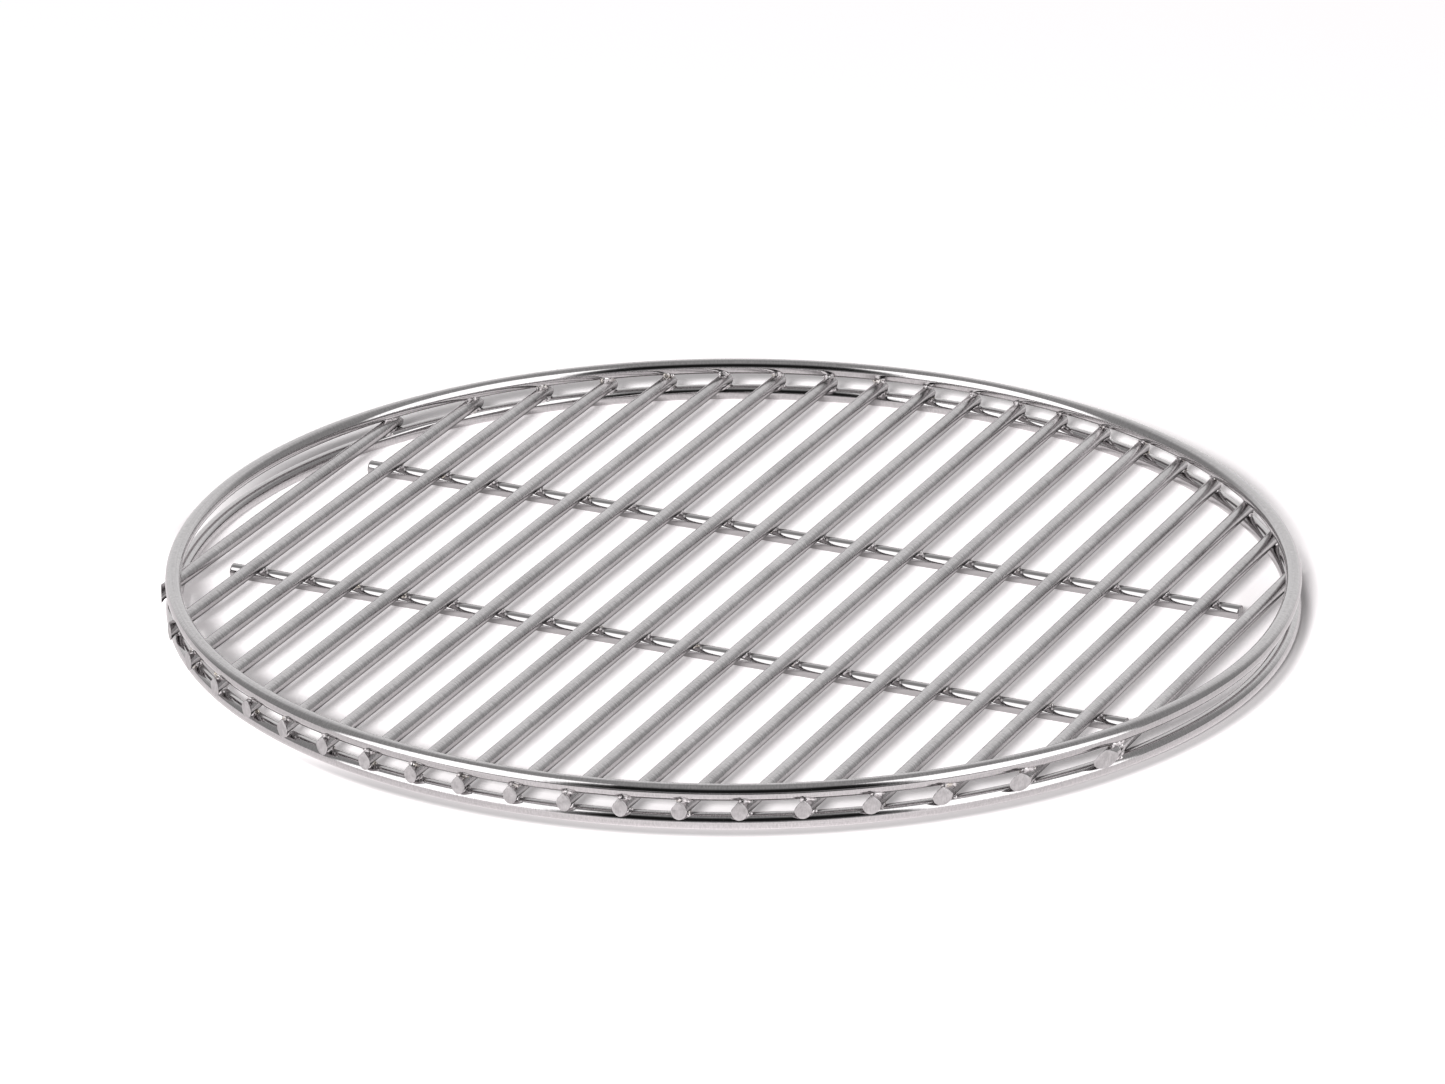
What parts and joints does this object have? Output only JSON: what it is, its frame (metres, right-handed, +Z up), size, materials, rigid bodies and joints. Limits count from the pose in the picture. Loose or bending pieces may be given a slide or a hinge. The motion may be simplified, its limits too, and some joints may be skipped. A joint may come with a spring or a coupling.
{
  "type": "round wire cooling rack",
  "caption": "Flat round cooling rack: parallel welded slat wires between two rim rings, carried by cross bars underneath.",
  "frame": {"origin": "centre of the rack on the plane that it rests on, which touches the lower rim ring from below", "axes": "+Z up, away from the resting plane; +Y along the slats, towards the rear support bar; +X across the slats, along the support bars"},
  "size_m": [0.32, 0.3209, 0.0128],
  "materials": {
    "slat_wire": "drawn stainless wire, satin",
    "support_wire": "drawn stainless wire, bright",
    "rim_wire": "stainless wire, polished"
  },
  "bodies": {
    "root": {"lower_rim_ring": "rim_wire", "upper_rim_ring": "rim_wire", "front_support_bar": "support_wire", "rear_support_bar": "support_wire", "slat_01": "slat_wire", "slat_02": "slat_wire", "slat_03": "slat_wire", "slat_04": "slat_wire", "slat_05": "slat_wire", "slat_06": "slat_wire", "slat_07": "slat_wire", "slat_08": "slat_wire", "slat_09": "slat_wire", "slat_10": "slat_wire", "slat_11": "slat_wire", "slat_12": "slat_wire", "slat_13": "slat_wire", "slat_14": "slat_wire", "slat_15": "slat_wire", "slat_16": "slat_wire", "slat_17": "slat_wire", "slat_18": "slat_wire", "slat_19": "slat_wire", "slat_20": "slat_wire"}
  },
  "joints": []
}
